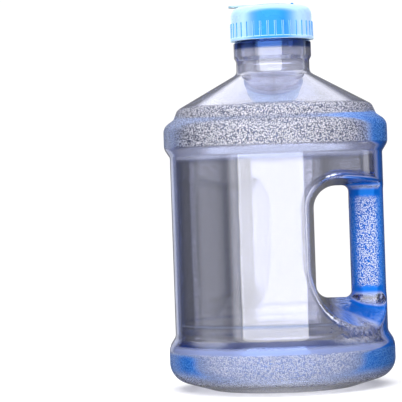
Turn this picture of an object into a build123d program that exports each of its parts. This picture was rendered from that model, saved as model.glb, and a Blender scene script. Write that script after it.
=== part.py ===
from build123d import *
import os

# Large water jug: a blow-moulded shell with its own hollow grip, and a screw cap with a
# centre tube for a dispenser probe. Millimetres, +Z up, origin at the middle of the foot.

# ---- Jug shell -------------------------------------------------------------------------
WALL = 2.2
BODY_RADIUS = 80.0
BASE_RADIUS = 85.1
SHOULDER_RADIUS = 84.2
FOOT_INNER_RADIUS = 46.0
FOOT_OUTER_RADIUS = 54.0
DOME_HEIGHT = 7.0
CONE_FOOT = (73.35, 210.8)
NECK_RADIUS = 27.6
NECK_FOOT_HEIGHT = 236.2
BEAD_RADIUS = 29.1
BEAD_TOP = 259.6
FINISH_RADIUS = 26.4
FINISH_TOP = 281.0
NECK_BORE_RADIUS = 24.2

# ---- Hand hole and grip: the hole's outline narrows from the jug's face to its middle ---
HOLE_LEFT = 27.2
HOLE_BOTTOM = 66.1
HOLE_TOP = 150.2
RIM_LEFT = 22.4
RIM_TOP = 156.8
RIM_LOW_LEFT = 70.5
RIM_LOW_RIGHT = 0.0
HOLE_CORNERS = (17.0, 8.0)
RIM_CORNERS = (24.0, 16.0)
HOLE_RIGHT = 95.0
RIM_DEPTH = 80.0
GRIP_INNER = 53.6
GRIP_OUTER = 80.9
GRIP_WIDTH = 29.0
GRIP_CORNER = 11.0
GRIP_BLEND = 5.0
GRIP_WALL = 5.0

# ---- Screw thread ------------------------------------------------------------------------
PITCH = 4.0
THREAD_DEPTH = 1.25
THREAD_ROOT = 0.4
THREAD_HALF_BASE = 1.05
THREAD_HALF_CREST = 0.45
NECK_THREAD_START = 265.6
NECK_THREAD_TURNS = 1.75
CAP_THREAD_START = 263.6
CAP_THREAD_TURNS = 1.5

# ---- Cap ---------------------------------------------------------------------------------
CAP_BOTTOM = 261.0
CAP_TOP = 286.5
CAP_LIP_RADIUS = 31.6
CAP_LIP_TOP = 262.9
CAP_SKIRT_RADIUS = 30.7
CAP_SHOULDER_RADIUS = 30.5
CAP_CORNER = 6.5
CAP_BORE_RADIUS = 28.3
CAP_PLATE = 2.0
RIB_COUNT = 34
RIB_RADIUS = 0.75
RIB_TOP = 274.6
TUBE_BORE_RADIUS = 9.8
TUBE_ROOT_RADIUS = 12.85
TUBE_TIP_RADIUS = 12.4
TUBE_BOTTOM = 258.5
COLLAR_SEAT_RADIUS = 11.15
COLLAR_SEAT_TOP = 260.6
GASKET_THICKNESS = 1.2
GASKET_INNER_RADIUS = 23.8
GASKET_OUTER_RADIUS = 26.2

# ---- Dust cover on top of the cap ----------------------------------------------------------
COVER_GAP = 0.15
COVER_THICKNESS = 1.3
COVER_RADIUS = 13.5
COVER_SPIGOT_RADIUS = 9.5
COVER_SPIGOT_TIP_RADIUS = 9.25
COVER_SPIGOT_WALL = 1.2
COVER_SPIGOT_LENGTH = 3.0
COVER_HINGE_X = 16.0
TAB_WIDTH = 10.0
TAB_REACH = 32.0
HINGE_PIN_RADIUS = 0.65
KNUCKLE_WIDTH = 6.0
KNUCKLE_GAP = 0.2
LUG_WIDTH = 1.8

# ---- Stopper in the tube's lower end, and the collar that tethers it ------------------------
STOPPER_RADIUS = 9.6
STOPPER_TIP_RADIUS = 8.4
STOPPER_LENGTH = 6.8
STOPPER_WALL = 1.0
FLANGE_RADIUS = 11.0
FLANGE_THICKNESS = 1.0
FLANGE_GAP = 0.3
STRAP_HINGE_X = 13.9
STRAP_WIDTH = 5.0
STRAP_THICKNESS = 0.8
STRAP_BARREL_RADIUS = 0.8
COLLAR_RADIUS = 12.4
EAR_WIDTH = 1.4


def profile_corners():
    """Corners of the jug's outline as (radius, height, blend radius), from foot to lip."""
    return [
        (FOOT_OUTER_RADIUS, 0.0, 3.0),
        (BASE_RADIUS, 9.3, 15.5),
        (BASE_RADIUS, 32.6, 14.0),
        (BODY_RADIUS, 40.5, 6.0),
        (BODY_RADIUS, 175.1, 3.0),
        (SHOULDER_RADIUS, 181.7, 8.0),
        (SHOULDER_RADIUS, 198.1, 8.5),
        (76.4, 203.5, 1.0),
        (CONE_FOOT[0], CONE_FOOT[1], 6.0),
        (NECK_RADIUS, NECK_FOOT_HEIGHT, 4.5),
        (NECK_RADIUS, 245.6, 1.2),
        (BEAD_RADIUS, 248.6, 1.2),
        (BEAD_RADIUS, BEAD_TOP, 0.9),
        (FINISH_RADIUS, BEAD_TOP, 0.5),
        (FINISH_RADIUS, FINISH_TOP, 0.6),
    ]


def jug_outline():
    """The jug's half outline, closed along its axis, with a shallow dome under the foot."""
    corners = profile_corners()
    points = [(radius, height) for radius, height, blend in corners]
    with BuildSketch(Plane.XZ) as outline:
        with BuildLine():
            ThreePointArc((0, DOME_HEIGHT), (FOOT_INNER_RADIUS / 2, DOME_HEIGHT * 0.74),
                          (FOOT_INNER_RADIUS, 0))
            Polyline([(FOOT_INNER_RADIUS, 0)] + points + [(0, FINISH_TOP), (0, DOME_HEIGHT)])
        make_face()
        for radius, height, blend in corners:
            fillet(outline.vertices().sort_by_distance((radius, height))[0], radius=blend)
    return outline.sketch


def jug_inner_outline():
    """The outline moved inwards by the wall, on the right-hand side of the axis."""
    half = jug_outline()
    with BuildSketch(Plane.XZ) as inner:
        add(half)
        mirror(half, about=Plane.YZ)
        offset(amount=-WALL, kind=Kind.INTERSECTION, mode=Mode.REPLACE)
        with Locations((BASE_RADIUS, FINISH_TOP / 2)):
            Rectangle(2 * BASE_RADIUS, 2 * FINISH_TOP, mode=Mode.INTERSECT)
    return inner.sketch


def hole_outline(plane, left, lows, top, corners):
    """One outline of the hand hole: upright on the left, its floor falling from left to right."""
    with BuildSketch(plane) as outline:
        with BuildLine():
            Polyline((left, lows[0]), (left, top), (HOLE_RIGHT, top), (HOLE_RIGHT, lows[1]), close=True)
        make_face()
        for height, corner in zip((top, lows[0]), corners):
            fillet(outline.vertices().sort_by_distance((left, height))[0], radius=corner)
    return outline.sketch


def hand_hole(grow, grip_wall, blend):
    """The space round the grip, grown on every side, with a grip thinner by its wall left in it."""
    middle = hole_outline(Plane.XZ, HOLE_LEFT - grow, (HOLE_BOTTOM - grow, HOLE_BOTTOM - grow),
                          HOLE_TOP + grow, [corner + grow for corner in HOLE_CORNERS])
    rim_lows = (RIM_LOW_LEFT - grow, RIM_LOW_RIGHT - grow)
    rim = hole_outline(Plane.XZ.offset(RIM_DEPTH), RIM_LEFT - grow, rim_lows,
                       RIM_TOP + grow, [corner + grow for corner in RIM_CORNERS])
    with BuildPart() as hole:
        loft([middle.face(), rim.face()], ruled=True)
        mirror(about=Plane.XZ)
        with BuildSketch(Plane.XY):
            with Locations(((GRIP_INNER + GRIP_OUTER) / 2, 0)):
                RectangleRounded(GRIP_OUTER - GRIP_INNER - 2 * grip_wall, GRIP_WIDTH - 2 * grip_wall,
                                 GRIP_CORNER - grip_wall)
        extrude(amount=NECK_FOOT_HEIGHT, mode=Mode.SUBTRACT)
        if blend > 0:
            fillet([edge for edge in hole.edges() if grip_joins_shell(edge)], radius=blend)
    return hole.part


def grip_joins_shell(edge):
    """True for the edges where the grip's sides run into the hand hole's floor and ceiling."""
    middle = edge.center()
    box = edge.bounding_box()
    beside_grip = abs(middle.Y) < GRIP_WIDTH / 2 + 0.01 and middle.X > GRIP_INNER - WALL - 0.01
    return beside_grip and box.size.Z < GRIP_WIDTH and box.max.X < HOLE_RIGHT - 1


def thread(root_radius, outward, start, turns):
    """A right-handed ridge round the axis: outward on the neck, inward inside the cap."""
    crest_radius = root_radius + outward * THREAD_DEPTH
    buried_radius = root_radius - outward * THREAD_ROOT
    path = Helix(pitch=PITCH, height=PITCH * turns, radius=root_radius, center=(0, 0, start))
    with BuildPart() as ridge:
        with BuildSketch(Plane.XZ):
            with BuildLine():
                Polyline((buried_radius, start - THREAD_HALF_BASE), (root_radius, start - THREAD_HALF_BASE),
                         (crest_radius, start - THREAD_HALF_CREST), (crest_radius, start + THREAD_HALF_CREST),
                         (root_radius, start + THREAD_HALF_BASE), (buried_radius, start + THREAD_HALF_BASE),
                         close=True)
            make_face()
        sweep(path=path, is_frenet=True)
    return ridge.part


os.makedirs("parts", exist_ok=True)

# ---- Jug shell: the outside less the hand hole, hollowed by the same shape drawn smaller ----
with BuildPart() as cavity:
    with BuildSketch(Plane.XZ):
        add(jug_inner_outline())
    revolve(axis=Axis.Z)
    add(hand_hole(WALL, GRIP_WALL, 0), mode=Mode.SUBTRACT)

with BuildPart() as jug_body:
    with BuildSketch(Plane.XZ):
        add(jug_outline())
    revolve(axis=Axis.Z)
    add(hand_hole(0, 0, GRIP_BLEND), mode=Mode.SUBTRACT)
    add(cavity.part, mode=Mode.SUBTRACT)
    with BuildSketch(Plane.XY.offset(NECK_FOOT_HEIGHT + 4)):
        Circle(NECK_BORE_RADIUS)
    extrude(amount=FINISH_TOP, mode=Mode.SUBTRACT)
    add(thread(FINISH_RADIUS, 1, NECK_THREAD_START, NECK_THREAD_TURNS))
jug_body.part.label = "jug_body"
export_step(jug_body.part, "parts/jug_body.step")

# ---- Cap: ribbed skirt, top plate with a sealing land, centre tube and inside thread -------
land_bottom = FINISH_TOP + GASKET_THICKNESS
plate_bottom = CAP_TOP - CAP_PLATE
with BuildPart() as screw_cap:
    with BuildSketch(Plane.XZ) as section:
        with BuildLine():
            Polyline((CAP_BORE_RADIUS, CAP_BOTTOM), (CAP_LIP_RADIUS, CAP_BOTTOM),
                     (CAP_LIP_RADIUS, CAP_LIP_TOP), (CAP_SKIRT_RADIUS, CAP_LIP_TOP + 0.5),
                     (CAP_SHOULDER_RADIUS, RIB_TOP),
                     (CAP_SHOULDER_RADIUS, CAP_TOP), (0, CAP_TOP), (0, plate_bottom),
                     (CAP_BORE_RADIUS, plate_bottom), close=True)
        make_face()
        fillet(section.vertices().sort_by_distance((CAP_SHOULDER_RADIUS, CAP_TOP))[0], radius=CAP_CORNER)
        fillet(section.vertices().sort_by_distance((CAP_BORE_RADIUS, plate_bottom))[0], radius=CAP_CORNER - 2)
        fillet(section.vertices().sort_by_distance((CAP_LIP_RADIUS, CAP_BOTTOM))[0], radius=0.6)
        fillet(section.vertices().sort_by_distance((CAP_LIP_RADIUS, CAP_LIP_TOP))[0], radius=0.6)
        with Locations(((GASKET_INNER_RADIUS + GASKET_OUTER_RADIUS) / 2, (land_bottom + CAP_TOP) / 2)):
            Rectangle(GASKET_OUTER_RADIUS - GASKET_INNER_RADIUS, CAP_TOP - land_bottom - 1)
    revolve(axis=Axis.Z)
    with BuildSketch(Plane.XZ):
        with BuildLine():
            Polyline((0, TUBE_BOTTOM), (COLLAR_SEAT_RADIUS, TUBE_BOTTOM),
                     (COLLAR_SEAT_RADIUS, COLLAR_SEAT_TOP),
                     (TUBE_TIP_RADIUS, COLLAR_SEAT_TOP), (TUBE_ROOT_RADIUS, CAP_TOP - 1), (0, CAP_TOP - 1),
                     close=True)
        make_face()
    revolve(axis=Axis.Z)
    with BuildSketch(Plane.XY.offset(CAP_LIP_TOP - 0.4)):
        with PolarLocations(CAP_SKIRT_RADIUS - 0.15, RIB_COUNT):
            Circle(RIB_RADIUS)
    extrude(amount=RIB_TOP - CAP_LIP_TOP)
    with BuildSketch(Plane.XY.offset(TUBE_BOTTOM)):
        Circle(TUBE_BORE_RADIUS)
    extrude(amount=CAP_TOP, mode=Mode.SUBTRACT)
    add(thread(CAP_BORE_RADIUS, -1, CAP_THREAD_START, CAP_THREAD_TURNS))
    lug_step = (KNUCKLE_WIDTH + LUG_WIDTH) / 2 + KNUCKLE_GAP
    hinge_height = CAP_TOP + COVER_GAP + HINGE_PIN_RADIUS
    for side in (-1, 1):
        with BuildSketch(Plane.XZ.offset(side * lug_step + LUG_WIDTH / 2)):
            with Locations((COVER_HINGE_X, hinge_height)):
                Circle(2 * HINGE_PIN_RADIUS)
            with Locations((COVER_HINGE_X, (CAP_TOP + hinge_height) / 2 - 0.5)):
                Rectangle(4 * HINGE_PIN_RADIUS, hinge_height - CAP_TOP + 1)
        extrude(amount=-LUG_WIDTH)
screw_cap.part.label = "screw_cap"
export_step(screw_cap.part, "parts/screw_cap.step")

# ---- Gasket: flat ring between the neck's lip and the cap's sealing land --------------------
with BuildPart() as cap_gasket:
    with BuildSketch(Plane.XY.offset(FINISH_TOP)):
        Circle(GASKET_OUTER_RADIUS)
        Circle(GASKET_INNER_RADIUS, mode=Mode.SUBTRACT)
    extrude(amount=GASKET_THICKNESS)
cap_gasket.part.label = "cap_gasket"
export_step(cap_gasket.part, "parts/cap_gasket.step")

# ---- Dust cover: disc with a spigot for the tube's bore, a hinge barrel and a pull tab ------
cover_bottom = CAP_TOP + COVER_GAP
with BuildPart() as dust_cover:
    with BuildSketch(Plane.XY.offset(cover_bottom)):
        Circle(COVER_RADIUS)
        with Locations((COVER_HINGE_X / 2, 0)):
            Rectangle(COVER_HINGE_X, KNUCKLE_WIDTH)
        with Locations((-TAB_REACH / 2, 0)):
            Rectangle(TAB_REACH, TAB_WIDTH)
    extrude(amount=COVER_THICKNESS)
    tab_end = dust_cover.edges().filter_by(Axis.Z).group_by(Axis.X)[0]
    fillet(tab_end, radius=TAB_WIDTH / 2 - 1)
    with BuildSketch(Plane.XZ.offset(-KNUCKLE_WIDTH / 2)):
        with Locations((COVER_HINGE_X, hinge_height)):
            Circle(HINGE_PIN_RADIUS)
    extrude(amount=KNUCKLE_WIDTH)
    with BuildSketch(Plane.XZ):
        with BuildLine():
            Polyline((COVER_SPIGOT_RADIUS, cover_bottom + 0.5), (COVER_SPIGOT_RADIUS, cover_bottom),
                     (COVER_SPIGOT_TIP_RADIUS, cover_bottom - COVER_SPIGOT_LENGTH),
                     (COVER_SPIGOT_TIP_RADIUS - COVER_SPIGOT_WALL, cover_bottom - COVER_SPIGOT_LENGTH),
                     (COVER_SPIGOT_TIP_RADIUS - COVER_SPIGOT_WALL, cover_bottom + 0.5), close=True)
        make_face()
    revolve(axis=Axis.Z)
    rim = dust_cover.faces().filter_by(Axis.Z).sort_by(Axis.Z)[-1]
    chamfer(rim.edges(), length=0.3)
dust_cover.part.label = "dust_cover"
export_step(dust_cover.part, "parts/dust_cover.step")

# ---- Stopper: hollow plug in the tube's lower end, closed by a flange, with its strap -------
flange_top = TUBE_BOTTOM - FLANGE_GAP
strap_height = flange_top - FLANGE_THICKNESS / 2
with BuildPart() as stopper:
    with BuildSketch(Plane.XZ):
        with BuildLine():
            Polyline((0, flange_top - FLANGE_THICKNESS), (FLANGE_RADIUS, flange_top - FLANGE_THICKNESS),
                     (FLANGE_RADIUS, flange_top), (STOPPER_RADIUS, flange_top),
                     (STOPPER_TIP_RADIUS, flange_top + STOPPER_LENGTH),
                     (STOPPER_TIP_RADIUS - STOPPER_WALL, flange_top + STOPPER_LENGTH),
                     (STOPPER_RADIUS - STOPPER_WALL, flange_top + 0.5), (0, flange_top + 0.5), close=True)
        make_face()
    revolve(axis=Axis.Z)
    with BuildSketch(Plane.XY.offset(strap_height - STRAP_THICKNESS / 2)):
        with Locations(((FLANGE_RADIUS - 1 + STRAP_HINGE_X) / 2, 0)):
            Rectangle(STRAP_HINGE_X - FLANGE_RADIUS + 1, STRAP_WIDTH)
    extrude(amount=STRAP_THICKNESS)
    with BuildSketch(Plane.XZ.offset(-STRAP_WIDTH / 2)):
        with Locations((STRAP_HINGE_X, strap_height)):
            Circle(STRAP_BARREL_RADIUS)
    extrude(amount=STRAP_WIDTH)
stopper.part.label = "stopper"
export_step(stopper.part, "parts/stopper.step")

# ---- Collar: ring on the tube's end with two ears that hold the strap's barrel --------------
with BuildPart() as stopper_collar:
    with BuildSketch(Plane.XY.offset(TUBE_BOTTOM)):
        Circle(COLLAR_RADIUS)
        Circle(COLLAR_SEAT_RADIUS, mode=Mode.SUBTRACT)
    extrude(amount=COLLAR_SEAT_TOP - TUBE_BOTTOM)
    ear_step = (STRAP_WIDTH + EAR_WIDTH) / 2 + KNUCKLE_GAP
    for side in (-1, 1):
        with BuildSketch(Plane.XZ.offset(side * ear_step + EAR_WIDTH / 2)):
            with Locations((STRAP_HINGE_X, strap_height)):
                Circle(STRAP_BARREL_RADIUS + 0.7)
            with BuildLine():
                Polyline((COLLAR_RADIUS - 0.6, COLLAR_SEAT_TOP - 0.4),
                         (STRAP_HINGE_X + STRAP_BARREL_RADIUS + 0.7, COLLAR_SEAT_TOP - 0.9),
                         (STRAP_HINGE_X + STRAP_BARREL_RADIUS + 0.7, strap_height),
                         (COLLAR_RADIUS, strap_height), (COLLAR_RADIUS - 0.6, TUBE_BOTTOM), close=True)
            make_face()
        extrude(amount=-EAR_WIDTH)
stopper_collar.part.label = "stopper_collar"
export_step(stopper_collar.part, "parts/stopper_collar.step")
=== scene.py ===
import bmesh
import bpy
import math
import numpy as np
from mathutils import Matrix


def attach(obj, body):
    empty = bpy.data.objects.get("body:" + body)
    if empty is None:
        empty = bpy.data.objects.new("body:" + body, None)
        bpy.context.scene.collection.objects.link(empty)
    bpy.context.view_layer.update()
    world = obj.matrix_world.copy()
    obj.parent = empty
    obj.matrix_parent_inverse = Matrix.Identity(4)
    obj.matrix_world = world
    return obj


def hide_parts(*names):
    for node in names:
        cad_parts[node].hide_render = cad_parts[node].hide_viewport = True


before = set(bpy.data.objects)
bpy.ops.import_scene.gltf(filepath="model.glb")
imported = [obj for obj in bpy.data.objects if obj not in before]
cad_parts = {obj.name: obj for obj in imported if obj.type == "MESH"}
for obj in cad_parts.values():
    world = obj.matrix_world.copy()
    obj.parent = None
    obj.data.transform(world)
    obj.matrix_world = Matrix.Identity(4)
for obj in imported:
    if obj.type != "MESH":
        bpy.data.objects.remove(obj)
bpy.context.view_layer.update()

MM = 0.001

# ---- Sizes in millimetres, as in the CAD model ---------------------------------------------
WALL = 2.2
BODY_RADIUS = 80.0
BASE_RADIUS = 85.05  # 0.05 less than in the CAD model, so that the shell stays inside its box
SHOULDER_RADIUS = 84.2
STEP_RADIUS = 76.4
CONE_RADIUS = 73.35
NECK_RADIUS = 27.6
BEAD_RADIUS = 29.1
FINISH_RADIUS = 26.4
NECK_BORE_RADIUS = 24.2
FOOT_INNER_RADIUS = 46.0
FOOT_OUTER_RADIUS = 54.0

# Heights above the floor.
DOME_HEIGHT = 7.0
BASE_LOW, BASE_HIGH = 9.3, 32.6
BODY_LOW, BODY_HIGH = 40.5, 175.1
SHOULDER_LOW, SHOULDER_HIGH = 181.7, 198.1
STEP_HEIGHT = 203.5
CONE_LOW = 210.8
NECK_LOW, NECK_HIGH = 236.2, 245.6
BEAD_LOW, BEAD_TOP = 248.6, 259.6
FINISH_TOP = 281.0

# The hand hole, which widens towards its rims at the front and back, and the grip beside it.
HOLE_LEFT, HOLE_LEFT_AT_RIM = 27.2, 22.4
HOLE_TOP, HOLE_TOP_AT_RIM = 150.2, 156.8
HOLE_BOTTOM, RIM_LOW_LEFT = 66.1, 70.5
RIM_FLOOR_SLOPE = 0.971
RIM_DEPTH = 80.0
GRIP_INNER, GRIP_OUTER = 53.6, 80.9
GRIP_HALF_WIDTH, GRIP_CORNER = 14.5, 11.0
GRIP_WALL = 5.0

# The thread on the neck.
PITCH = 4.0
THREAD_DEPTH = 1.25
THREAD_HALF_BASE, THREAD_HALF_CREST = 1.05, 0.45
NECK_THREAD_START, NECK_THREAD_TURNS = 265.6, 1.75

# The box of the surface net round the hand hole, and the gap that is sewn to the turned rings.
NET_LOW = (-87.03, -87.05, 25.0)
NET_HIGH = (87.97, 87.95, 164.0)
NET_GAP = 0.6

# ---- Bands of the shell's surface, as low and high heights in millimetres -------------------
BASE_STIPPLE = (-9.0, 29.8)
SHOULDER_STIPPLE = (182.0, 211.5)
GRIP_STIPPLE = (75.0, 141.0)
GRIP_SPAN = (68.0, 149.0)
HOLE_SPAN = (66.0, 152.0)
BLUE_SLOPE = (172.0, 181.0)
MILKY_SLOPE = (173.0, 181.0)
SHOULDER_RING = (181.0, 203.0)
# Faint painted reflection of the blue cap on the cone.
CONE_CAP_REFLECTION = (214.0, 256.0)
MILKY_CONE = (212.0, 256.0)
# Painted reflection of the blue cap, in a band round the neck.
NECK_CAP_REFLECTION = (254.5, 262.0)
WALL_FOLD = (49.0, 51.0)
WAVY_WAIST = (34.0, 60.0)
WAVY_RECESS = (0.0, 150.0)

# ---- Moulded stipple: grains per metre, and relief in metres ---------------------------------
GRAIN_SCALE = 1150.0
GRAIN_RELIEF = 0.0005
WAVE_RELIEF = 0.0008
RIPPLE_RELIEF = 0.00012

# ---- Clear plastic: colours, and how strongly it absorbs light -------------------------------
CLEAR_TINT = (0.905, 0.90, 0.95)
DEEP_TINT = (0.0, 0.09, 0.43)
STIPPLE_TINT = (0.13, 0.17, 0.27)
WHITE_GRAIN = (0.66, 0.65, 0.69)
BLUE_GRAIN = (0.07, 0.25, 0.60)
WHITE_GLOSS = (1.0, 1.0, 1.0)
BLUE_GLOSS = (0.05, 0.35, 1.0)
ABSORPTION_COLOUR = (0.10, 0.30, 0.88, 1)
ABSORPTION_DENSITY = 45

# ---- Camera, in metres, millimetres of lens and degrees --------------------------------------
CAMERA_DISTANCE = 1.65
CAMERA_HEIGHT = 0.1506
CAMERA_LENS = 195.7
YAW, PITCH_DOWN, ROLL = 2.0, 0.3, 1.95

# ---- Room: floor in metres, strengths of its light, and the boxes in it ---------------------
FLOOR_RADIUS = 0.5
BACKDROP_LIGHT = 1.05
ROOM_LIGHT = 0.06
DIFFUSE_DIMMING = 0.65
# Each box: low and high azimuth, from the camera's side towards +X; low and high elevation;
# soft edge, all in degrees; and strength.
SIDE_BOXES = [
    (-42, 29, -26, 50, 0.8, 6.5),
    (-52, -42, -26, 50, 5.0, 3.0),
    (-97, -62, -26, 50, 12.0, 1.1),
    (29, 104, -26, 50, 5.0, 0.8),
    (108, 119, -30, 50, 2.0, 1.5),
    (-164, -150, -30, 50, 3.0, 0.7),
    (-180, -165, -12, 42, 3.0, 0.1),
    (165, 180, -12, 42, 3.0, 0.1),
]
END_BOXES = [
    (-180, -80, 30, 95, 6.0, 2.0),
    (80, 180, 30, 95, 6.0, 2.0),
    (-80, 80, 55, 95, 5.0, 1.2),
    (-180, 180, -95, -44, 8.0, 4.0),
]


# ---- Outlines and turned meshes --------------------------------------------------------------
def rounded(corners, step=1.2, arc_step=0.06):
    """A dense outline through corners (radius, height, blend), each blend drawn as an arc."""
    points = []
    count = len(corners)
    for index, (r, z, blend) in enumerate(corners):
        here = np.array([r, z])
        if index in (0, count - 1) or blend == 0:
            arc = [here]
        else:
            before = np.array(corners[index - 1][:2]) - here
            after = np.array(corners[index + 1][:2]) - here
            before = before / np.linalg.norm(before)
            after = after / np.linalg.norm(after)
            half = math.acos(np.clip(np.dot(before, after), -1, 1)) / 2
            cut = blend / math.tan(half)
            bisector = (before + after) / np.linalg.norm(before + after)
            centre = here + bisector * blend / math.sin(half)
            start, end = here + before * cut - centre, here + after * cut - centre
            turn = math.atan2(start[0] * end[1] - start[1] * end[0], np.dot(start, end))
            pieces = max(2, math.ceil(abs(turn) / max(arc_step, 0.25 / blend)))
            arc = []
            for k in range(pieces + 1):
                a = turn * k / pieces
                c, s = math.cos(a), math.sin(a)
                arc.append(centre + np.array([c * start[0] - s * start[1], s * start[0] + c * start[1]]))
        if points:
            last = points[-1]
            gap = arc[0] - last
            pieces = max(1, math.ceil(np.linalg.norm(gap) / step))
            points.extend(last + gap * k / pieces for k in range(1, pieces))
        points.extend(arc)
    return np.array(points)


def turned(profile, angles, shape=None):
    """Vertices and quads of an outline turned about Z; a point on the axis becomes a fan."""
    vertices, rings = [], []
    for r, z in profile:
        if r < 1e-6:
            rings.append([len(vertices)])
            vertices.append((0.0, 0.0, z))
            continue
        radii = np.full(len(angles), r) if shape is None else shape(r, z, angles)
        rings.append(range(len(vertices), len(vertices) + len(angles)))
        vertices.extend(zip(radii * np.cos(angles), radii * np.sin(angles), [z] * len(angles)))
    faces = []
    for low, high in zip(rings, rings[1:]):
        count = len(angles)
        for k in range(count):
            m = (k + 1) % count
            if len(low) == 1:
                faces.append((low[0], high[m], high[k]))
            elif len(high) == 1:
                faces.append((low[k], low[m], high[0]))
            else:
                faces.append((low[k], low[m], high[m], high[k]))
    return np.array(vertices), faces, rings


def even_angles(count):
    """Evenly spaced angles round one full turn."""
    return np.arange(count) * 2 * math.pi / count


def ridge(z, angles, start, turns):
    """Height, 0 to 1, of a right-handed thread with faded ends, round one ring."""
    around = np.mod(angles, 2 * math.pi) / (2 * math.pi)
    turn = around + np.round((z - start) / PITCH - around)
    off = np.abs(z - start - PITCH * turn)
    flank = np.clip((THREAD_HALF_BASE - off) / (THREAD_HALF_BASE - THREAD_HALF_CREST), 0, 1)
    fade = np.clip(np.minimum(turn, turns - turn) / 0.05, 0, 1)
    return flank * fade * fade * (3 - 2 * fade)


# ---- Hand hole: distance fields for the part of the shell that isn't turned -------------------
def round_max(a, b, radius):
    """The larger of two distances, with the corner between them rounded."""
    corner = np.hypot(np.maximum(a + radius, 0), np.maximum(b + radius, 0))
    return np.minimum(np.maximum(a, b), -radius) + corner


def hand_space(x, y, z, grow):
    """Below zero inside the space round the grip, which is larger by grow on every side."""
    depth = np.abs(y) / RIM_DEPTH
    left = HOLE_LEFT + (HOLE_LEFT_AT_RIM - HOLE_LEFT) * depth - grow - x
    ceiling = z - HOLE_TOP - (HOLE_TOP_AT_RIM - HOLE_TOP) * depth - grow
    rim_floor = RIM_LOW_LEFT - RIM_FLOOR_SLOPE * (x - HOLE_LEFT_AT_RIM)
    fall = (HOLE_BOTTOM - rim_floor) * depth
    steep = np.sqrt(1 + ((HOLE_BOTTOM - rim_floor) / RIM_DEPTH) ** 2 + (RIM_FLOOR_SLOPE * depth) ** 2)
    floor = (HOLE_BOTTOM - fall - z) / steep - grow
    return round_max(round_max(left, ceiling, 17 + 7 * depth + grow), floor, 9 + 7 * depth + grow)


def grip_post(x, y, shrink):
    """Below zero inside the grip's rounded section."""
    half = (GRIP_OUTER - GRIP_INNER) / 2
    corner = GRIP_CORNER - shrink
    dx = np.abs(x - (GRIP_OUTER + GRIP_INNER) / 2) - half + shrink + corner
    dy = np.abs(y) - GRIP_HALF_WIDTH + shrink + corner
    outside = np.hypot(np.maximum(dx, 0), np.maximum(dy, 0))
    return outside + np.minimum(np.maximum(dx, dy), 0) - corner


def shell_field(profile, grow, grip_wall, grip_blend, rim_blend):
    """Below zero inside the turned outline less the hand space."""
    order = np.argsort(profile[:, 1])
    heights, radii = profile[order, 1], profile[order, 0]

    def field(x, y, z):
        turned_part = np.hypot(x, y) - np.interp(z, heights, radii)
        space = round_max(hand_space(x, y, z, grow), -grip_post(x, y, grip_wall), grip_blend)
        return round_max(turned_part, -space, rim_blend)

    return field


def surface_net(field, low, high, cell):
    """Quads close to a field's zero surface inside a box, one vertex to a crossed cell."""
    axes = [low[i] + cell * np.arange(int(round((high[i] - low[i]) / cell)) + 1) for i in range(3)]
    inside = np.empty([len(a) for a in axes], dtype=bool)
    for k, height in enumerate(axes[2]):
        x, y = np.meshgrid(axes[0], axes[1], indexing="ij")
        inside[:, :, k] = field(x, y, np.full_like(x, height)) < 0
    corners = [inside[i:i - 1 or None, j:j - 1 or None, k:k - 1 or None]
               for i in (0, 1) for j in (0, 1) for k in (0, 1)]
    count = sum(c.astype(np.int8) for c in corners)
    crossed = (count > 0) & (count < 8)
    index = np.full(crossed.shape, -1)
    index[crossed] = np.arange(crossed.sum())
    where = np.argwhere(crossed)
    vertices = np.array(low) + cell * (where + 0.5)
    quads = []
    for axis in range(3):
        one = np.take(inside, range(0, inside.shape[axis] - 1), axis)
        two = np.take(inside, range(1, inside.shape[axis]), axis)
        spots = np.argwhere(one != two)
        u, v = [(1, 2), (2, 0), (0, 1)][axis]
        keep = np.all([(spots[:, w] > 0) & (spots[:, w] < inside.shape[w] - 1) for w in (u, v)], axis=0)
        spots = spots[keep]
        ring = []
        for du, dv in ((-1, -1), (0, -1), (0, 0), (-1, 0)):
            at = spots.copy()
            at[:, u] += du
            at[:, v] += dv
            ring.append(index[at[:, 0], at[:, 1], at[:, 2]])
        ring = np.stack(ring, 1)
        flip = ~one[spots[:, 0], spots[:, 1], spots[:, 2]]
        ring[flip] = ring[flip][:, ::-1]
        quads.append(ring)
    return vertices, np.concatenate(quads)


def onto_surface(field, points, rounds=3, reach=0.05):
    """Points moved along the field's slope onto its zero surface."""
    for _ in range(rounds):
        value = field(*points.T)
        slope = np.empty_like(points)
        for axis in range(3):
            step = np.zeros(3)
            step[axis] = reach
            slope[:, axis] = (field(*(points + step).T) - field(*(points - step).T)) / (2 * reach)
        points = points - slope * (value / np.maximum((slope ** 2).sum(1), 1e-6))[:, None]
    return points


def relaxed(field, points, quads, fixed, rounds=6):
    """Points evened out over the surface, with the fixed ones left in place."""
    edges = np.concatenate([quads[:, [i, (i + 1) % 4]] for i in range(4)])
    for _ in range(rounds):
        total = np.zeros_like(points)
        number = np.zeros(len(points))
        for a, b in ((0, 1), (1, 0)):
            np.add.at(total, edges[:, a], points[edges[:, b]])
            np.add.at(number, edges[:, a], 1)
        mean = total / np.maximum(number, 1)[:, None]
        mean[fixed] = points[fixed]
        points = onto_surface(field, 0.4 * points + 0.6 * mean, rounds=1)
    return onto_surface(field, points, rounds=2)


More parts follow.
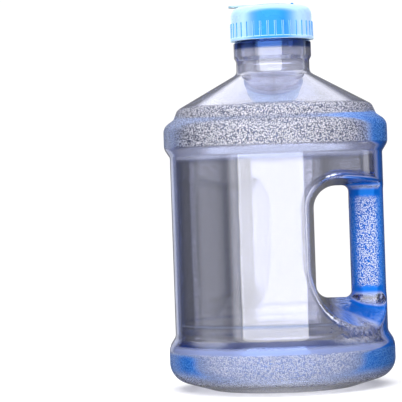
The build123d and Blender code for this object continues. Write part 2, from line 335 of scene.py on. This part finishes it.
def sewn(ring_a, ring_b, vertices):
    """Triangles between two rings of vertices at nearly the same radius, sorted round the axis."""
    def by_angle(ring):
        angle = np.arctan2(vertices[ring, 1], vertices[ring, 0])
        order = np.argsort(angle)
        return list(np.asarray(ring)[order]), list(angle[order])

    a, angle_a = by_angle(ring_a)
    b, angle_b = by_angle(ring_b)
    a.append(a[0])
    b.append(b[0])
    angle_a.append(angle_a[0] + 2 * math.pi)
    angle_b.append(angle_b[0] + 2 * math.pi)
    i = j = 0
    faces = []
    while i < len(a) - 1 or j < len(b) - 1:
        if j == len(b) - 1 or (i < len(a) - 1 and angle_a[i + 1] <= angle_b[j + 1]):
            faces.append((a[i], a[i + 1], b[j]))
            i += 1
        else:
            faces.append((a[i], b[j + 1], b[j]))
            j += 1
    return faces


# ---- Mesh objects --------------------------------------------------------------------------
def mesh_object(name, vertices, faces, material, masks):
    """A smooth-shaded object from millimetre vertices, with its normals turned outwards."""
    mesh = bpy.data.meshes.new(name)
    mesh.from_pydata([tuple(v) for v in vertices * MM], [], faces)
    mesh.materials.append(material)
    for mask, values in masks.items():
        mesh.attributes.new(mask, "FLOAT", "POINT").data.foreach_set("value", values.astype(np.float32))
    obj = bpy.data.objects.new(name, mesh)
    bpy.context.collection.objects.link(obj)
    work = bmesh.new()
    work.from_mesh(mesh)
    bmesh.ops.recalc_face_normals(work, faces=work.faces)
    work.to_mesh(mesh)
    work.free()
    mesh.shade_smooth()
    return obj


def shell_corners():
    """The shell's corners (radius, height, blend), up its outside and down its inside."""
    return [
        (0.0, DOME_HEIGHT, 0),
        (FOOT_INNER_RADIUS * 0.5, DOME_HEIGHT * 0.95, 60.0),
        (FOOT_INNER_RADIUS, 0.0, 1.5),
        (FOOT_OUTER_RADIUS, 0.0, 3.0),
        (BASE_RADIUS, BASE_LOW, 15.5),
        (BASE_RADIUS, BASE_HIGH, 14.0),
        (BODY_RADIUS, BODY_LOW, 6.0),
        (BODY_RADIUS, BODY_HIGH, 3.0),
        (SHOULDER_RADIUS, SHOULDER_LOW, 8.0),
        (SHOULDER_RADIUS, SHOULDER_HIGH, 8.5),
        (STEP_RADIUS, STEP_HEIGHT, 1.0),
        (CONE_RADIUS, CONE_LOW, 6.0),
        (NECK_RADIUS, NECK_LOW, 4.5),
        (NECK_RADIUS, NECK_HIGH, 1.2),
        (BEAD_RADIUS, BEAD_LOW, 1.2),
        (BEAD_RADIUS, BEAD_TOP, 0.9),
        (FINISH_RADIUS, BEAD_TOP, 0.5),
        (FINISH_RADIUS, FINISH_TOP, 0.6),
        (NECK_BORE_RADIUS, FINISH_TOP, 0.5),
        (NECK_BORE_RADIUS, NECK_HIGH + 1.4, 3.0),
        (NECK_RADIUS - WALL - 0.2, NECK_HIGH - 2.6, 3.0),
        (NECK_RADIUS - WALL, NECK_LOW - 1.2, 6.7),
        (CONE_RADIUS - 1.9, CONE_LOW - 1.8, 4.0),
        (STEP_RADIUS - 1.6, STEP_HEIGHT - 1.5, 3.0),
        (SHOULDER_RADIUS - WALL, SHOULDER_HIGH - 1.2, 6.3),
        (SHOULDER_RADIUS - WALL, SHOULDER_LOW + 0.7, 6.0),
        (BODY_RADIUS - WALL, BODY_HIGH + 0.9, 5.0),
        (BODY_RADIUS - WALL, BODY_LOW + 0.7, 8.0),
        (BASE_RADIUS - WALL, BASE_HIGH + 0.5, 12.0),
        (BASE_RADIUS - WALL, BASE_LOW + 1.9, 13.3),
        (FOOT_OUTER_RADIUS, WALL, 5.0),
        (FOOT_INNER_RADIUS, WALL, 3.0),
        (FOOT_INNER_RADIUS * 0.5, DOME_HEIGHT * 0.95 + WALL, 60.0),
        (0.0, DOME_HEIGHT + WALL, 0),
    ]


def neck_shape(r, z, angles):
    """The neck's outside with its thread."""
    if r > FINISH_RADIUS - 0.01 and BEAD_TOP + 1 < z < FINISH_TOP - 1:
        return r + THREAD_DEPTH * ridge(z, angles, NECK_THREAD_START, NECK_THREAD_TURNS)
    return np.full(len(angles), r)


def ramp(value, low, high):
    """0 at low to 1 at high, eased at both ends."""
    part = np.clip((value - low) / (high - low), 0, 1)
    return part * part * (3 - 2 * part)


def between(value, low, high, soft):
    """1 from low to high and 0 elsewhere, eased over soft on each side."""
    return ramp(value, low - soft, low + soft) * (1 - ramp(value, high - soft, high + soft))


def shell_masks(points, outside):
    """Shares at each vertex that the clear plastic's nodes read, 0 to 1.

    stipple is moulded grain, thick is plastic whose depth makes it look blue, with a faint painted
    reflection of the blue cap on the cone, deep is a painted reflection of the blue cap round the neck,
    blue but clear, haze is faintly milky and wavy is uneven. edge says how blue the rims are, and reach
    how far in from them the blue comes.
    """
    x, y, z = points.T
    from_hole = np.abs(hand_space(x, y, z, np.where(outside, 0.0, WALL)))
    beside_hole = 1 - ramp(from_hole, 1.0, 4.0)
    at_grip = ramp(x, 27, 48)
    rightwards = ramp(x, -20, 80)
    on_post = between(z, *GRIP_SPAN, 3) * between(np.abs(y), -1, 16, 1.5) * ramp(x, 46, 51)
    base_ring = 1 - ramp(z, 27, 34)
    shoulder_ring = between(z, *SHOULDER_RING, 2)

    base_grain = between(z, *BASE_STIPPLE, 0.8) * (0.3 + 0.7 * ramp(z, 1, 12))
    ring_grain = between(z, *SHOULDER_STIPPLE, 0.8) + base_grain
    stipple = np.maximum(ring_grain, between(z, *GRIP_STIPPLE, 2) * on_post) * outside

    above_floor = ramp(z, 80, 120)
    recess = 1 - ramp(np.abs(y), 30 + 30 * above_floor, 50 + 20 * above_floor)
    recess = beside_hole * recess * at_grip
    rings = 0.7 * ramp(z, 3, 14) * (1 - ramp(z, 32, 39)) + 0.3 * between(z, *BLUE_SLOPE, 1.5)
    # On the cone, a faint painted reflection of the blue cap.
    rings = rings + 0.12 * between(z, *CONE_CAP_REFLECTION, 2)
    fold = 0.6 * between(z, *WALL_FOLD, 1.2) * outside
    thick_and_cone_reflection = np.maximum(np.maximum(on_post, recess), np.maximum(rings, fold))
    # A painted reflection of the blue cap in a band round the neck, blue but clear.
    painted_cap_reflection = 0.88 * between(z, *NECK_CAP_REFLECTION, 0.8)

    foot = 0.7 * (1 - ramp(z, 2, 11)) * outside
    haze = 0.08 * between(z, *MILKY_CONE, 2) + 0.17 * between(z, *MILKY_SLOPE, 1.5) + foot
    haze = np.maximum(haze, 0.12 * beside_hole * (1 - at_grip) * between(z, *HOLE_SPAN, 6))

    waist = between(z, *WAVY_WAIST, 8) * ramp(x, 25, 50) * outside
    wavy = (1 - ramp(from_hole, 2.0, 9.0)) * at_grip * between(z, *WAVY_RECESS, 20)
    wavy = np.maximum(waist, wavy)

    edge = np.maximum(0.62 + 0.38 * rightwards, base_ring) * ramp(z, 2, 18)
    edge = edge * (1 - beside_hole * (1 - at_grip)) * (1 - 0.9 * ramp(z, 203, 208))
    reach = (0.48 + 0.17 * ramp(x, 68, 81)) * on_post
    reach = reach + (0.32 + 0.08 * ramp(x, 0, 80)) * base_ring
    reach = reach + (0.12 + 0.1 * rightwards) * shoulder_ring
    return {"stipple": stipple, "thick_and_cone_reflection": thick_and_cone_reflection, "wavy": wavy, "edge": edge, "reach": reach,
            "painted_cap_reflection": painted_cap_reflection, "haze": haze}


def finer_on_thread(outline, step=0.2):
    """The outline, with its run up the threaded finish cut into short pieces."""
    fine = []
    for here, there in zip(outline, outline[1:]):
        fine.append(here)
        if abs(here[0] - FINISH_RADIUS) < 0.02 and abs(there[0] - FINISH_RADIUS) < 0.02:
            pieces = max(1, int(abs(there[1] - here[1]) / step))
            fine.extend(here + (there - here) * k / pieces for k in range(1, pieces))
    return np.array(fine + [outline[-1]])


def jug_mesh(material):
    """The closed shell: turned below and above, with a surface net round the hand hole."""
    cell = 1.0
    net_bottom, net_top = NET_LOW[2], NET_HIGH[2]
    outline = finer_on_thread(rounded(shell_corners()))
    lip = int(np.argmax(outline[:, 1]))
    outer, inner = outline[:lip], outline[lip:]
    angles = even_angles(360)
    vertices = np.zeros((0, 3))
    outside = np.zeros(0)
    faces = []

    def take(new_vertices, new_faces, new_outside):
        nonlocal vertices, outside
        base = len(vertices)
        vertices = np.concatenate([vertices, new_vertices])
        outside = np.concatenate([outside, np.broadcast_to(new_outside, len(new_vertices))])
        faces.extend(tuple(int(i) + base for i in f) for f in new_faces)
        return base

    foot_profile = outer[:np.count_nonzero(outer[:, 1] < net_bottom - NET_GAP)]
    v, f, rings = turned(foot_profile, angles)
    base = take(v, f, 1.0)
    outer_low = [i + base for i in rings[-1]]

    first = next(i for i in range(len(outer)) if outer[i, 1] > net_top + NET_GAP)
    last = next(i for i in range(len(inner)) if inner[i, 1] < net_top + NET_GAP)
    v, f, rings = turned(np.concatenate([outer[first:], inner[:last]]), angles, neck_shape)
    base = take(v, f, np.arange(len(v)) < (len(outer) - first) * len(angles))
    outer_high = [i + base for i in rings[0]]
    inner_high = [i + base for i in rings[-1]]

    start = next(i for i in range(len(inner)) if inner[i, 1] < net_bottom - NET_GAP)
    v, f, rings = turned(inner[start:], angles)
    base = take(v, f, 0.0)
    inner_low = [i + base for i in rings[0]]

    skin = shell_field(outer[len(foot_profile) - 2:], grow=0.0, grip_wall=0.0, grip_blend=5.0,
                       rim_blend=2.6)
    lining = shell_field(inner[:start + 2], grow=WALL, grip_wall=GRIP_WALL, grip_blend=4.0,
                         rim_blend=3.0)
    for field, side, ring_low, ring_high in ((skin, 1.0, outer_low, outer_high),
                                             (lining, 0.0, inner_low, inner_high)):
        v, quads = surface_net(field, NET_LOW, NET_HIGH, cell)
        v = onto_surface(field, v)
        bottom = v[:, 2] < net_bottom + cell * 0.6
        top = v[:, 2] > net_top - cell * 0.6
        v = relaxed(field, v, quads, bottom | top)
        base = take(v, quads, side)
        faces.extend(sewn(ring_low, list(np.flatnonzero(bottom) + base), vertices))
        faces.extend(sewn(ring_high, list(np.flatnonzero(top) + base), vertices))
    faces = [tuple(int(i) for i in face) for face in faces]
    return mesh_object("jug_shell", vertices, faces, material, shell_masks(vertices, outside))


# ---- Materials -------------------------------------------------------------------------------
def new_material(name):
    """A material with its nodes, links and shader."""
    material = bpy.data.materials.new(name)
    material.use_nodes = True
    nodes = material.node_tree.nodes
    return material, nodes, material.node_tree.links, nodes["Principled BSDF"]


def math_node(nodes, links, operation, *values):
    """The outcome of an operation on numbers or other nodes' outputs."""
    node = nodes.new("ShaderNodeMath")
    node.operation = operation
    for slot, value in zip(node.inputs, values):
        if isinstance(value, (int, float)):
            slot.default_value = value
        else:
            links.new(value, slot)
    return node.outputs[0]


def mixed(nodes, links, factor, low, high, blend="MIX"):
    """A colour from low to high, each of them a colour or another node's output."""
    mix = nodes.new("ShaderNodeMix")
    mix.data_type = "RGBA"
    mix.blend_type = blend
    links.new(factor, mix.inputs["Factor"])
    for slot, colour in (("A", low), ("B", high)):
        if isinstance(colour, tuple):
            mix.inputs[slot].default_value = (*colour, 1)
        else:
            links.new(colour, mix.inputs[slot])
    return mix.outputs["Result"]


def eased(nodes, links, value, low, high, out_low=0.0, out_high=1.0):
    """A value carried from low..high to out_low..out_high, eased at both ends."""
    node = nodes.new("ShaderNodeMapRange")
    node.interpolation_type = "SMOOTHSTEP"
    links.new(value, node.inputs["Value"])
    node.inputs["From Min"].default_value = low
    node.inputs["From Max"].default_value = high
    node.inputs["To Min"].default_value = out_low
    node.inputs["To Max"].default_value = out_high
    return node.outputs["Result"]


def smooth_band(nodes, links, value, low, high, soft):
    """1 between low and high, fading to 0 over soft on each side."""
    rising = eased(nodes, links, value, low - soft, low + soft)
    falling = eased(nodes, links, value, high + soft, high - soft)
    return math_node(nodes, links, "MULTIPLY", rising, falling)


def noise(nodes, links, place, scale, detail=2.0, distortion=0.0):
    """Cloudy noise, 0 to 1, in cycles per metre."""
    node = nodes.new("ShaderNodeTexNoise")
    node.inputs["Scale"].default_value = scale
    node.inputs["Detail"].default_value = detail
    node.inputs["Distortion"].default_value = distortion
    links.new(place, node.inputs["Vector"])
    return node.outputs["Fac"]


def attribute(nodes, name):
    """One of the mesh's masks."""
    node = nodes.new("ShaderNodeAttribute")
    node.attribute_name = name
    return node.outputs["Fac"]


def facing(nodes):
    """0 where the surface is seen straight on, rising to 1 where it is seen along."""
    node = nodes.new("ShaderNodeLayerWeight")
    node.inputs["Blend"].default_value = 0.5
    return node.outputs["Facing"]


def bumped(nodes, links, shader, height):
    """Gives the surface a relief in metres."""
    bump = nodes.new("ShaderNodeBump")
    bump.inputs["Distance"].default_value = 1.0
    bump.inputs["Strength"].default_value = 1.0
    links.new(height, bump.inputs["Height"])
    links.new(bump.outputs[0], shader.inputs["Normal"])


def stipple_grain(nodes, links, place):
    """Distance from the middle of the nearest grain, as a share of the grains' spacing."""
    cells = nodes.new("ShaderNodeTexVoronoi")
    cells.inputs["Scale"].default_value = GRAIN_SCALE
    links.new(place, cells.inputs["Vector"])
    return cells.outputs["Distance"]


def clear_plastic():
    """Blue-tinted polycarbonate: clear walls, frosted stipple, deep blue where it is thick."""
    material, nodes, links, shader = new_material("clear_polycarbonate")
    place = nodes.new("ShaderNodeTexCoord").outputs["Object"]
    names = ("stipple", "thick_and_cone_reflection", "wavy", "edge", "reach", "painted_cap_reflection", "haze")
    stipple, thick_and_cone_reflection, wavy, edge, reach, painted_cap_reflection, haze = [attribute(nodes, name) for name in names]

    def maths(operation, *values):
        return math_node(nodes, links, operation, *values)

    grain = stipple_grain(nodes, links, place)
    swirl = noise(nodes, links, place, 150.0, 2.0, 1.5)
    ripple = noise(nodes, links, place, 28.0, 1.0)
    relief = maths("MULTIPLY", maths("MULTIPLY", grain, stipple), GRAIN_RELIEF)
    waves = maths("MULTIPLY", maths("MULTIPLY", swirl, wavy), WAVE_RELIEF)
    relief = maths("ADD", maths("ADD", relief, waves), maths("MULTIPLY", ripple, RIPPLE_RELIEF))
    bumped(nodes, links, shader, relief)

    # Seen along its wall, as at the rims, the plastic is deeper and so bluer.
    turned_away = maths("ADD", facing(nodes), reach)
    edge = maths("MULTIPLY", edge, eased(nodes, links, turned_away, 0.48, 0.75))
    # The blue also holds the faint painted reflection of the blue cap on the cone.
    blue = maths("MAXIMUM", edge, thick_and_cone_reflection)
    # The band round the neck is a painted reflection of the blue cap, in the tint and the gloss.
    tinted = maths("POWER", maths("MAXIMUM", blue, painted_cap_reflection), 1.1)
    tint = mixed(nodes, links, tinted, CLEAR_TINT, DEEP_TINT)

    # White grains on a darker ground, which sink into the blue of the rims.
    frost = maths("MULTIPLY", stipple, eased(nodes, links, grain, 0.56, 0.40))
    covered = maths("MULTIPLY", edge, eased(nodes, links, thick_and_cone_reflection, 0.75, 1.0, 0.25, 0.5))
    frost = maths("MULTIPLY", frost, maths("SUBTRACT", 1.0, covered))
    ground = maths("MULTIPLY", stipple, maths("SUBTRACT", 1.0, blue))
    tint = mixed(nodes, links, ground, tint, STIPPLE_TINT, "MULTIPLY")
    shaded = maths("MAXIMUM", edge, maths("MULTIPLY", thick_and_cone_reflection, 0.12))
    grains = mixed(nodes, links, shaded, WHITE_GRAIN, BLUE_GRAIN)
    links.new(mixed(nodes, links, frost, tint, grains), shader.inputs["Base Color"])

    gloss = maths("MULTIPLY", tinted, maths("SUBTRACT", 1.0, frost))
    gloss = mixed(nodes, links, gloss, WHITE_GLOSS, BLUE_GLOSS)
    links.new(gloss, shader.inputs["Specular Tint"])
    cloudy = eased(nodes, links, blue, 0.35, 0.95, 0.0, 0.8)
    cloudy = maths("MAXIMUM", maths("MAXIMUM", cloudy, maths("MULTIPLY", frost, 0.5)), haze)
    links.new(maths("SUBTRACT", 1.0, cloudy), shader.inputs["Transmission Weight"])
    matt = maths("MAXIMUM", maths("MULTIPLY", stipple, 0.2), frost)
    links.new(eased(nodes, links, matt, 0.0, 1.0, 0.012, 0.38), shader.inputs["Roughness"])
    shader.inputs["IOR"].default_value = 1.58
    volume = nodes.new("ShaderNodeVolumeAbsorption")
    volume.inputs["Color"].default_value = ABSORPTION_COLOUR
    volume.inputs["Density"].default_value = ABSORPTION_DENSITY
    links.new(volume.outputs[0], nodes["Material Output"].inputs["Volume"])
    return material


def cap_plastic():
    """Glossy blue polyethylene with faint flow marks, a soft sheen, and a painted sheen that pales it
    towards its outline.
    """
    material, nodes, links, shader = new_material("cap_polyethylene")
    place = nodes.new("ShaderNodeTexCoord").outputs["Object"]
    flow = noise(nodes, links, place, 45.0, 3.0, 0.6)
    skin = noise(nodes, links, place, 1400.0, 2.0)
    streaks = eased(nodes, links, flow, 0.3, 0.7)
    colour = mixed(nodes, links, streaks, (0.006, 0.155, 0.51), (0.012, 0.185, 0.57))
    # Painted sheen: the blue pales to light blue where the surface turns away from view.
    painted_sheen = eased(nodes, links, facing(nodes), 0.03, 0.30)
    links.new(mixed(nodes, links, painted_sheen, colour, (0.31, 0.48, 0.76)), shader.inputs["Base Color"])
    links.new(eased(nodes, links, flow, 0.2, 0.8, 0.24, 0.34), shader.inputs["Roughness"])
    shader.inputs["Specular Tint"].default_value = (0.25, 0.75, 1.0, 1)
    shader.inputs["Sheen Weight"].default_value = 1.0
    shader.inputs["Sheen Roughness"].default_value = 0.35
    shader.inputs["Sheen Tint"].default_value = (0.75, 0.96, 1.0, 1)
    bumped(nodes, links, shader, math_node(nodes, links, "MULTIPLY", skin, 0.00003))
    return material


def soft_plastic(name, low, high, roughness, clear, scale=60.0, pits=0.00003):
    """Milky plastic, foam or paper: cloudy colour, uneven gloss and fine pits."""
    material, nodes, links, shader = new_material(name)
    place = nodes.new("ShaderNodeTexCoord").outputs["Object"]
    cloud = noise(nodes, links, place, scale, 3.0, 0.4)
    patches = eased(nodes, links, cloud, 0.3, 0.7)
    links.new(mixed(nodes, links, patches, low, high), shader.inputs["Base Color"])
    links.new(eased(nodes, links, cloud, 0.2, 0.8, roughness - 0.06, roughness + 0.06),
              shader.inputs["Roughness"])
    shader.inputs["Transmission Weight"].default_value = clear
    fine = noise(nodes, links, place, 1600.0, 2.0)
    bumped(nodes, links, shader, math_node(nodes, links, "MULTIPLY", fine, pits))
    return material


# ---- Pieces ----------------------------------------------------------------------------------
jug = jug_mesh(clear_plastic())
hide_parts("jug_body")
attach(jug, "jug")
looks = {
    "screw_cap": cap_plastic(),
    "dust_cover": soft_plastic("cover_polyethylene", (0.28, 0.46, 0.55), (0.35, 0.51, 0.58),
                               roughness=0.3, clear=0.35),
    "cap_gasket": soft_plastic("liner_foam", (0.50, 0.64, 0.92), (0.58, 0.72, 0.96),
                               roughness=0.7, clear=0.0, scale=220.0, pits=0.0002),
    "stopper": soft_plastic("stopper_polyethylene", (0.74, 0.78, 0.80), (0.84, 0.88, 0.9),
                            roughness=0.42, clear=0.3),
}
looks["stopper_collar"] = looks["stopper"]
for name, look in looks.items():
    for slot in bpy.data.objects[name].material_slots:
        slot.material = look


# ---- Stage, light and camera -------------------------------------------------------------------
def soft_boxes(nodes, links, azimuth, rise, boxes):
    """Light from all the boxes of a list, by the direction it comes from."""
    total = 0.0
    for low, high, bottom, top, soft, power in boxes:
        across = smooth_band(nodes, links, azimuth, low, high, soft)
        upright = smooth_band(nodes, links, rise, bottom, top, soft)
        box = math_node(nodes, links, "MULTIPLY", across, upright)
        total = math_node(nodes, links, "ADD", math_node(nodes, links, "MULTIPLY", box, power), total)
    return total


def studio_world():
    """White to the camera; elsewhere a dim room with soft boxes placed round the jug."""
    world = bpy.data.worlds.new("studio")
    bpy.context.scene.world = world
    world.use_nodes = True
    nodes, links = world.node_tree.nodes, world.node_tree.links
    nodes.clear()

    def maths(operation, *values):
        return math_node(nodes, links, operation, *values)

    split = nodes.new("ShaderNodeSeparateXYZ")
    links.new(nodes.new("ShaderNodeTexCoord").outputs["Generated"], split.inputs[0])
    x, y, z = split.outputs
    azimuth = maths("MULTIPLY", maths("ARCTAN2", x, maths("MULTIPLY", y, -1.0)), 180 / math.pi)
    rise = maths("MULTIPLY", maths("ARCSINE", z), 180 / math.pi)

    # The boxes beside the jug shape its highlights, but light matt plastic less.
    ray = nodes.new("ShaderNodeLightPath").outputs
    beside = soft_boxes(nodes, links, azimuth, rise, SIDE_BOXES)
    share = maths("SUBTRACT", 1.0, maths("MULTIPLY", ray["Is Diffuse Ray"], DIFFUSE_DIMMING))
    ends = soft_boxes(nodes, links, azimuth, rise, END_BOXES)
    total = maths("ADD", maths("ADD", maths("MULTIPLY", beside, share), ends), ROOM_LIGHT)

    room = nodes.new("ShaderNodeBackground")
    room.inputs["Color"].default_value = (0.985, 0.98, 1.0, 1)
    links.new(total, room.inputs["Strength"])
    white = nodes.new("ShaderNodeBackground")
    white.inputs["Color"].default_value = (1, 1, 1, 1)
    white.inputs["Strength"].default_value = BACKDROP_LIGHT
    mix = nodes.new("ShaderNodeMixShader")
    links.new(ray["Is Camera Ray"], mix.inputs[0])
    links.new(room.outputs[0], mix.inputs[1])
    links.new(white.outputs[0], mix.inputs[2])
    links.new(mix.outputs[0], nodes.new("ShaderNodeOutputWorld").inputs["Surface"])


studio_world()

floor_mesh = bpy.data.meshes.new("floor")
rim = [(FLOOR_RADIUS * math.cos(a), FLOOR_RADIUS * math.sin(a), 0.0) for a in even_angles(96)]
floor_mesh.from_pydata(rim, [], [tuple(range(len(rim)))])
floor = bpy.data.objects.new("floor", floor_mesh)
bpy.context.collection.objects.link(floor)
floor_mesh.materials.append(soft_plastic("floor_paper", (0.9, 0.9, 0.9), (0.93, 0.93, 0.93),
                                         roughness=0.9, clear=0.0, scale=8.0))
floor.visible_transmission = False
floor.visible_glossy = False
floor.visible_diffuse = False

scene = bpy.context.scene
camera_data = bpy.data.cameras.new("camera")
camera_data.lens = CAMERA_LENS
camera_data.sensor_width = 36
camera = bpy.data.objects.new("camera", camera_data)
bpy.context.collection.objects.link(camera)
camera.location = (0, -CAMERA_DISTANCE, CAMERA_HEIGHT)
turn = Matrix.Rotation(math.radians(YAW), 3, "Z")
turn = turn @ Matrix.Rotation(math.radians(90 - PITCH_DOWN), 3, "X")
turn = turn @ Matrix.Rotation(math.radians(-ROLL), 3, "Z")
camera.rotation_euler = turn.to_euler()
scene.camera = camera
scene.view_settings.view_transform = "Standard"
scene.cycles.max_bounces = 24
scene.cycles.transmission_bounces = 24
scene.cycles.glossy_bounces = 12
